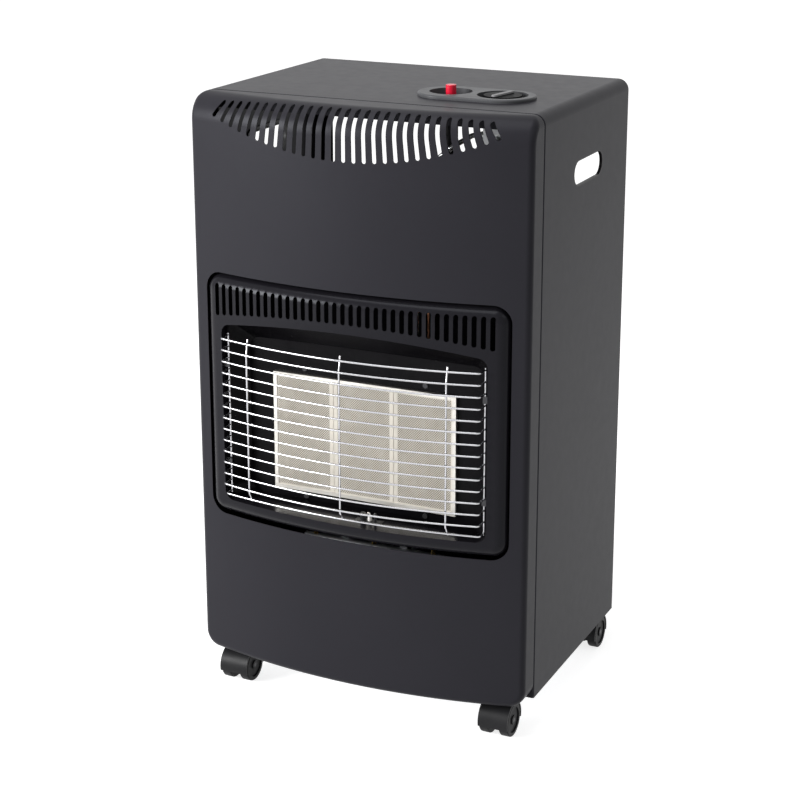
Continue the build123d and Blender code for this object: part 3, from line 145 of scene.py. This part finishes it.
def uneven_gloss(material, shader, value, low, high):
    """Roughness that runs from low to high with the value."""
    material.node_tree.links.new(spread(material, value, low, high), shader.inputs["Roughness"])


def scaled(colour, factor):
    """The colour, made lighter or darker."""
    return tuple(min(1.0, part * factor) for part in colour)


print("helpers ready")

# %% [markdown]
# ## Powder coat
# The cabinet, its front and its back are sprayed with anthracite powder and baked. Up close such
# a coat has a faint orange peel about a millimetre and a half across, and its gloss changes a
# little from place to place. Two noises make that: a fine one for the peel and a slow one for the
# shade. The surround gets a blacker, glossier coat that stands the heat.

# %% Make the powder coat
def powder_coat(name, colour, gloss, specular):
    """Sprayed and baked paint with a faint orange peel."""
    material, shader = finish_of(name, colour, gloss, specular=specular)
    shader.inputs["Specular Tint"].default_value = (0.90, 0.93, 1.0, 1)
    here = place(material)
    slow = noise(material, here, 5.0, detail=2.0)
    tint(material, shader, spread(material, slow, 0.0, 1.0), scaled(colour, 0.94), scaled(colour, 1.06))
    peel = noise(material, here, 620.0, detail=1.0)
    bumps(material, shader, peel, 0.00004, strength=0.4)
    uneven_gloss(material, shader, noise(material, here, 80.0, detail=3.0), gloss - 0.015, gloss + 0.02)
    return material


cabinet_paint = powder_coat("cabinet_powder_coat", (0.0170, 0.0164, 0.0200), 0.36, 0.07)
surround_paint = powder_coat("surround_powder_coat", (0.0075, 0.0070, 0.0090), 0.22, 0.10)
print("made", cabinet_paint.name, "and", surround_paint.name)

# %% [markdown]
# ## Black enamel
# The dish behind the window and the heat shield are enamelled, which gives a glassy black that
# mirrors what is round it. A clear coat could be laid over it, but the gloss of the shader itself
# is enough here, and a slow ripple keeps the reflections from being perfect.

# %% Make the enamel
def enamel(name, colour, gloss, ripple=0.00012):
    """Glassy fired coat with a slow ripple."""
    material, shader = finish_of(name, colour, gloss, specular=0.06)
    here = place(material)
    slow = noise(material, here, 22.0, detail=2.0)
    tint(material, shader, spread(material, slow, 0.0, 1.0), scaled(colour, 0.8), scaled(colour, 1.25))
    bumps(material, shader, slow, ripple)
    uneven_gloss(material, shader, noise(material, here, 140.0, detail=3.0), gloss - 0.03, gloss + 0.06)
    return material


dish_enamel = enamel("dish_enamel", (0.0026, 0.0024, 0.0031), 0.22)
print("made", dish_enamel.name)

# %% [markdown]
# ## Rolled and brushed metal
# Sheet steel shows fine lines in the direction in which it was rolled. Stretching a noise along
# one axis draws such lines, and the same noise can drive the gloss, because a scratch is also
# duller than its surroundings.

# %% Make the metals
def rolled_metal(name, colour, gloss, along=(1, 1, 1), lines=900.0, depth=0.00002):
    """Bright metal with lines along the axis whose stretch is smallest."""
    material, shader = finish_of(name, colour, gloss, metallic=1.0)
    here = place(material, stretch=along)
    scratches = noise(material, here, lines, detail=3.0, rough=0.6)
    cloud = noise(material, place(material), 30.0, detail=4.0)
    tint(material, shader, spread(material, cloud, 0.0, 1.0), scaled(colour, 0.86), scaled(colour, 1.06))
    bumps(material, shader, scratches, depth)
    uneven_gloss(material, shader, scratches, gloss - 0.06, gloss + 0.08)
    return material


zinc_sheet = rolled_metal("zinc_plated_sheet", (0.50, 0.51, 0.53), 0.42, along=(0.06, 1, 1), lines=500.0)
bright_trim = rolled_metal("bright_stainless_trim", (0.60, 0.58, 0.54), 0.38, along=(0.04, 1, 1))
blackened = rolled_metal("blackened_steel", (0.050, 0.050, 0.053), 0.40, along=(1, 1, 0.2), lines=600.0)
turned_steel = rolled_metal("turned_steel", (0.56, 0.56, 0.57), 0.30, along=(1, 1, 0.05))
turned_brass = rolled_metal("turned_brass", (0.72, 0.50, 0.20), 0.26, along=(1, 0.05, 1))
die_cast = rolled_metal("die_cast_alloy", (0.55, 0.56, 0.57), 0.46, lines=700.0, depth=0.00006)
drawn_tube = rolled_metal("drawn_aluminium_tube", (0.68, 0.69, 0.70), 0.30, along=(0.1, 1, 1))
copper = rolled_metal("drawn_copper", (0.70, 0.34, 0.20), 0.32, along=(1, 1, 0.1))
print("made", len(bpy.data.materials), "finishes so far")

# %% [markdown]
# ## Chrome wire
# The guard is welded wire with a bright chrome plating. Chrome mirrors nearly everything and has
# almost no colour, so the material is a smooth metal. The plating is thin over a drawn wire, and
# a faint bump keeps that visible.

# %% Make the chrome
chrome_wire, chrome_shader = finish_of("chrome_plated_wire", (0.46, 0.46, 0.48), 0.12, metallic=1.0)
wire_here = place(chrome_wire)
bumps(chrome_wire, chrome_shader, noise(chrome_wire, wire_here, 260.0, detail=2.0), 0.00003)
uneven_gloss(chrome_wire, chrome_shader, noise(chrome_wire, wire_here, 45.0, detail=3.0), 0.10, 0.20)
print("made", chrome_wire.name)

# %% [markdown]
# ## Ceramic plaques with flame holes
# Each burner plaque is a pale porous block with thousands of holes a millimetre wide, and plain
# margins where its frame grips it. Modelling the holes would take millions of faces. A Voronoi
# texture with no randomness gives a regular grid of points instead: near each point the colour
# goes dark as painted shade inside the hole and the bump goes down, and a mask keeps the margins
# and the joints plain.

# %% Helpers for masks
def arithmetic(material, operation, first, second=None, clamp=False):
    """One Math node on values or sockets."""
    step = node(material, "Math", operation=operation, use_clamp=clamp)
    for socket, value in zip(step.inputs, (first, second)):
        if value is None:
            continue
        if isinstance(value, (int, float)):
            socket.default_value = value
        else:
            material.node_tree.links.new(value, socket)
    return step.outputs["Value"]


def coordinate(material, axis):
    """One object coordinate, in metres."""
    where = node(material, "TexCoord")
    parts = node(material, "SeparateXYZ")
    material.node_tree.links.new(where.outputs["Object"], parts.inputs["Vector"])
    return parts.outputs[axis]


def within(material, value, middle, half, soft=0.0003):
    """1 where the value is nearer to middle than half, and 0 outside, with a soft edge."""
    away = arithmetic(material, "ABSOLUTE", arithmetic(material, "SUBTRACT", value, middle))
    inside = arithmetic(material, "SUBTRACT", half, away)
    return arithmetic(material, "DIVIDE", inside, soft, clamp=True)


print("mask helpers ready")

# %% Make the plaque ceramic
hole_pitch = 0.0028
hole_radius = 0.33              # in pitches
grid_diagonal = 1.42            # the grid is turned by 45 degrees, which stretches it this much
hole_edge = 0.12                # softness of a hole's edge, in pitches
side_margin = 0.0047
end_margin = 0.0045


def flame_holes(material, box):
    """1 in the holes of one plaque and 0 between them."""
    low, high = box
    grid = node(material, "TexVoronoi", voronoi_dimensions="2D", feature="F1")
    grid.inputs["Scale"].default_value = 1.0
    grid.inputs["Randomness"].default_value = 0.0
    flat = node(material, "CombineXYZ")
    across = arithmetic(material, "DIVIDE", coordinate(material, "X"), hole_pitch)
    up = arithmetic(material, "DIVIDE", coordinate(material, "Z"), hole_pitch)
    links = material.node_tree.links
    links.new(arithmetic(material, "ADD", across, up), flat.inputs["X"])
    links.new(arithmetic(material, "SUBTRACT", across, up), flat.inputs["Y"])
    links.new(flat.outputs["Vector"], grid.inputs["Vector"])
    near = arithmetic(material, "SUBTRACT", hole_radius * grid_diagonal, grid.outputs["Distance"])
    dot = arithmetic(material, "DIVIDE", near, hole_edge, clamp=True)
    middle_x, middle_z = (low.x + high.x) / 2, (low.z + high.z) / 2
    half_x, half_z = (high.x - low.x) / 2 - side_margin, (high.z - low.z) / 2 - end_margin
    inside = arithmetic(
        material, "MULTIPLY",
        within(material, coordinate(material, "X"), middle_x, half_x),
        within(material, coordinate(material, "Z"), middle_z, half_z),
    )
    return arithmetic(material, "MULTIPLY", dot, inside)


def plaque_ceramic(name, box):
    """Pale porous ceramic with painted shade in the holes of this plaque."""
    pale = (0.60, 0.565, 0.505)
    material, shader = finish_of(name, pale, 0.85, specular=0.2)
    here = place(material)
    cloud = spread(material, noise(material, here, 55.0, detail=5.0), 0.0, 0.20)
    holes = flame_holes(material, box)
    # painted shade: the colour goes dark in the holes, standing in for the shade inside them; the cloud
    # adds a random tone
    shade = arithmetic(material, "ADD", arithmetic(material, "MULTIPLY", holes, 0.92), cloud, clamp=True)
    tint(material, shader, shade, pale, (0.17, 0.155, 0.125))
    pores = noise(material, here, 1500.0, detail=3.0)
    relief = arithmetic(material, "SUBTRACT", arithmetic(material, "MULTIPLY", pores, 0.3), holes)
    bumps(material, shader, relief, 0.0003, strength=0.7)
    return material


plaque_looks = {
    name: plaque_ceramic(f"ceramic_{name}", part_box(name))
    for name in nodes if slot_of[name] == "burner_ceramic"
}
print("made", sorted(plaque_looks))

# %% [markdown]
# ## Mouldings
# The control plate, the knob, the grips, the hoods and the wheels are moulded plastic. Moulds are
# spark-eroded to a fine grain, which hides marks, so the plastic is matt with a tiny relief. The
# button is polished instead, and the sparking electrode's white ceramic is glazed.

# %% Make the plastics
def moulded(name, colour, gloss, grain=900.0, depth=0.00003, coat=0.0, specular=0.12):
    """Moulded plastic with a fine grain, and a clear gloss where coat is above 0."""
    material, shader = finish_of(name, colour, gloss, specular=specular)
    here = place(material)
    shader.inputs["Coat Weight"].default_value = coat
    shader.inputs["Coat Roughness"].default_value = 0.05
    cloud = noise(material, here, 24.0, detail=3.0)
    tint(material, shader, spread(material, cloud, 0.0, 1.0), scaled(colour, 0.9), scaled(colour, 1.1))
    bumps(material, shader, noise(material, here, grain, detail=2.0), depth)
    uneven_gloss(material, shader, noise(material, here, 70.0, detail=3.0), gloss - 0.04, gloss + 0.06)
    return material


plate_plastic = moulded("control_plate_plastic", (0.060, 0.061, 0.065), 0.38)
black_plastic = moulded("black_moulding", (0.012, 0.012, 0.013), 0.36)
button_plastic = moulded(
    "red_button_plastic", (0.58, 0.012, 0.035), 0.22, grain=200.0, depth=0.00001, coat=0.3)
wheel_nylon = moulded("wheel_nylon", (0.010, 0.010, 0.011), 0.48, grain=500.0, depth=0.00005)
lead_sheath = moulded("silicone_sheath", (0.014, 0.014, 0.015), 0.55, grain=400.0, depth=0.00004)
white_glaze = moulded(
    "white_glazed_ceramic", (0.82, 0.80, 0.77), 0.15, grain=150.0, depth=0.00001, coat=0.5)
print("made", len(bpy.data.materials), "finishes so far")

# %% [markdown]
# ## The knob's painted highlight
# The knob is black, and the raised bar on it, which the fingers hold and which points at the
# setting, is painted grey on top as a highlight where it catches the light. Both are one moulding,
# so one material holds the black and the painted highlight. The bar is the only part above the disc, and a
# soft step at that height separates them.

# %% Make the knob's plastic
knob_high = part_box("control_knob")[1]
bar_height = 0.0022
bar_foot_z = knob_high.z - bar_height * 0.8


def painted_highlight_above(name, below, above, step_z):
    """Plastic that steps to a lighter colour above a height, as a painted highlight on its top."""
    material = moulded(name, below, 0.34, specular=0.01)
    shader = material.node_tree.nodes["Principled BSDF"]
    over = arithmetic(material, "SUBTRACT", coordinate(material, "Z"), step_z)
    # painted highlight: the lighter colour above step_z stands in for the light on the top
    tint(material, shader, arithmetic(material, "DIVIDE", over, 0.0001, clamp=True), below, above)
    return material


# painted highlight: grey on the bar's top, where the light catches the black knob
knob_plastic = painted_highlight_above("knob_plastic", (0.005, 0.005, 0.0055), (0.20, 0.20, 0.205), bar_foot_z)
print("knob step at", round(bar_foot_z, 4))

# %% [markdown]
# ## Finishes on the solids
# The record already says which slot each solid belongs to, so a small table from slot to material
# is all that is left. Only the plaques, the knob, the surround and the thermocouple differ from
# the rest of their slot.

# %% Put the finishes on
finish_by_slot = {
    "graphite_paint": cabinet_paint, "black_enamel": dish_enamel, "zinc_steel": zinc_sheet,
    "bright_steel": bright_trim, "chrome_wire": chrome_wire, "brass_fitting": turned_brass,
    "valve_alloy": die_cast, "steel_spindle": turned_steel, "aluminium_pipe": drawn_tube,
    "copper_lead": copper, "lead_sheath": lead_sheath, "white_ceramic": white_glaze,
    "grey_plastic": plate_plastic, "black_plastic": black_plastic, "red_plastic": button_plastic,
    "blackened_steel": blackened, "wheel_plastic": wheel_nylon,
}
finish_by_node = {
    "control_knob": knob_plastic, "radiant_surround": surround_paint, "thermocouple": blackened,
    **plaque_looks,
}
for name, piece in nodes.items():
    look = finish_by_node.get(name) or finish_by_slot[slot_of[name]]
    piece.data.materials.clear()
    piece.data.materials.append(look)
print("dressed", len(nodes), "solids")

# %% [markdown]
# ## Camera
# The picture was taken from the heater's right, a little above it, with a long lens, so that the
# upright edges stay nearly parallel. The camera's axes are written out as a matrix, because that
# also holds its slight roll, and a small shift puts the heater where the picture has it.

# %% Set up the camera
azimuth, elevation, roll = math.radians(24.34), math.radians(15.96), math.radians(0.20)
camera_place = (0.9223, -1.99895, 1.0726)
back = Vector((math.sin(azimuth) * math.cos(elevation), -math.cos(azimuth) * math.cos(elevation),
               math.sin(elevation)))
side = Vector((math.cos(azimuth), math.sin(azimuth), 0))
up = back.cross(side)
right = side * math.cos(roll) + up * math.sin(roll)
above = up * math.cos(roll) - side * math.sin(roll)
camera_data = bpy.data.cameras.new("camera")
camera = bpy.data.objects.new("camera", camera_data)
bpy.context.scene.collection.objects.link(camera)
camera.matrix_world = Matrix.Translation(camera_place) @ Matrix((right, above, back)).transposed().to_4x4()
camera_data.sensor_width = 36
camera_data.lens = 85.69
camera_data.shift_x = -0.0337
camera_data.shift_y = -0.0958
camera_data.clip_end = 60
bpy.context.scene.camera = camera
print("lens", camera_data.lens)

# %% [markdown]
# ## Floor and background
# The heater stands on a pale floor that runs out to a white background. A floor lit only by the
# lamps would turn grey with distance, so its material adds light of its own, but only for rays
# that come from the camera, off a glossy surface or through glass. The paint and the chrome then
# mirror the same pale room that the camera sees, no more light falls on the heater, and the
# shadow still shows.

# %% Make the floor
floor_half = 30
floor_glow = 0.78
floor_mesh = bpy.data.meshes.new("floor")
floor_corners = [(x * floor_half, y * floor_half, 0) for x, y in ((-1, -1), (1, -1), (1, 1), (-1, 1))]
floor_mesh.from_pydata(floor_corners, [], [(0, 1, 2, 3)])
floor = bpy.data.objects.new("floor", floor_mesh)
bpy.context.scene.collection.objects.link(floor)
floor_look, floor_shader = finish_of("pale_floor", (0.55, 0.55, 0.55), 0.9, specular=0.1)
paper = noise(floor_look, place(floor_look), 40.0, detail=3.0)
tint(floor_look, floor_shader, paper, (0.54, 0.54, 0.54), (0.56, 0.56, 0.56))


def background_share(material):
    """1 for rays from the camera, off gloss and through glass."""
    path = node(material, "LightPath")
    seen = arithmetic(
        material, "ADD", path.outputs["Is Camera Ray"], path.outputs["Is Transmission Ray"], clamp=True)
    return arithmetic(material, "ADD", seen, path.outputs["Is Glossy Ray"], clamp=True)


floor_shader.inputs["Emission Color"].default_value = (1, 1, 1, 1)
floor_look.node_tree.links.new(
    arithmetic(floor_look, "MULTIPLY", background_share(floor_look), floor_glow),
    floor_shader.inputs["Emission Strength"],
)
floor_mesh.materials.append(floor_look)
print("floor", floor.dimensions.x, "m")

# %% Make the surroundings
room_light = 0.45
room_extra = 0.55               # brings what the camera sees up to white
world = bpy.data.worlds.new("studio")
bpy.context.scene.world = world
world.use_nodes = True
sky = world.node_tree.nodes["Background"]
sky.inputs["Color"].default_value = (1, 1, 1, 1)
shown_extra = arithmetic(world, "MULTIPLY", background_share(world), room_extra)
world.node_tree.links.new(arithmetic(world, "ADD", shown_extra, room_light), sky.inputs["Strength"])
print("room light", room_light, "seen as", room_light + room_extra)

# %% [markdown]
# ## Lamps
# Three large soft panels light the heater. The key stands low at the left front, where the bowed
# panel mirrors it, so the sheen on the front fades from the upper left to the lower right. A
# weaker one stands at the right, and one above lights the top. Large panels keep shadows soft.

# %% Hang the lamps
def lamp(name, place_at, aim, size, watts):
    """A soft square panel that looks at a point."""
    data = bpy.data.lights.new(name, "AREA")
    data.size = size
    data.energy = watts
    panel = bpy.data.objects.new(name, data)
    bpy.context.scene.collection.objects.link(panel)
    panel.location = place_at
    panel.rotation_euler = (Vector(aim) - Vector(place_at)).to_track_quat("-Z", "Y").to_euler()
    return panel


lamp("key_panel", (-2.35, -2.5, 1.3), (0, 0, 0.5), 1.6, 200)
lamp("right_panel", (2.3, -0.6, 2.2), (0, 0, 0.6), 1.0, 4)
lamp("top_panel", (-0.3, -0.5, 2.7), (0, 0, 0.5), 1.6, 30)
print("lamps", len(bpy.data.lights))

# %% Colour transform
bpy.context.scene.view_settings.view_transform = "Standard"
